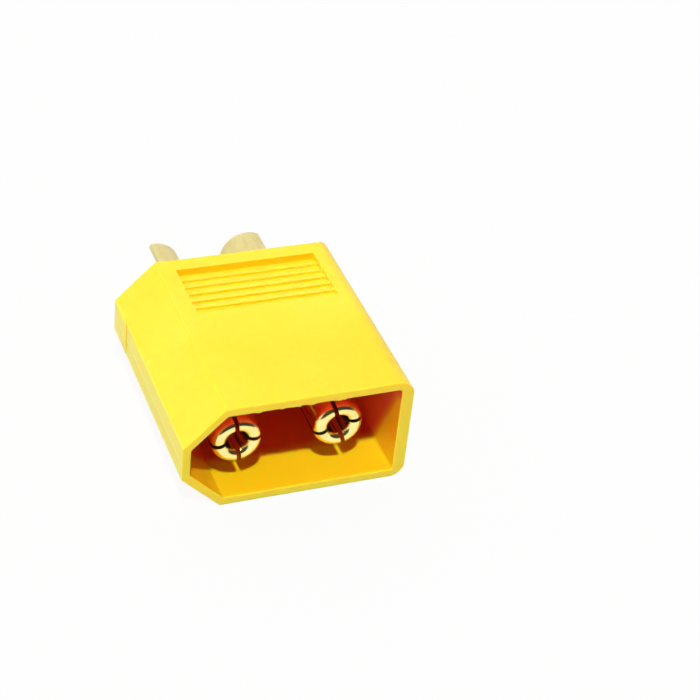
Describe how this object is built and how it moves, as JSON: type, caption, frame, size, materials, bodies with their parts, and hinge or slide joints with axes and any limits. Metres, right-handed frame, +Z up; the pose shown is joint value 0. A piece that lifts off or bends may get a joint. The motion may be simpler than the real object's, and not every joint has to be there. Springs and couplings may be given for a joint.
{
  "type": "two-pole power connector, pin half",
  "caption": "Keyed nylon power connector half: a chamfered shroud round split bullet pins, with scooped solder cups behind for the battery leads.",
  "frame": {"origin": "middle of the footprint, on the broad face that the connector lies on", "axes": "+Y from the mouth to the solder cups, +X towards the square side, which holds the positive contact, +Z up through the two broad faces"},
  "size_m": [0.016, 0.0222, 0.0081],
  "materials": {
    "housing_nylon": "satin moulded nylon, slightly translucent",
    "contact_gold": "gold plated, turned"
  },
  "bodies": {
    "root": {"housing": "housing_nylon", "positive_contact": "contact_gold", "negative_contact": "contact_gold"}
  },
  "joints": []
}
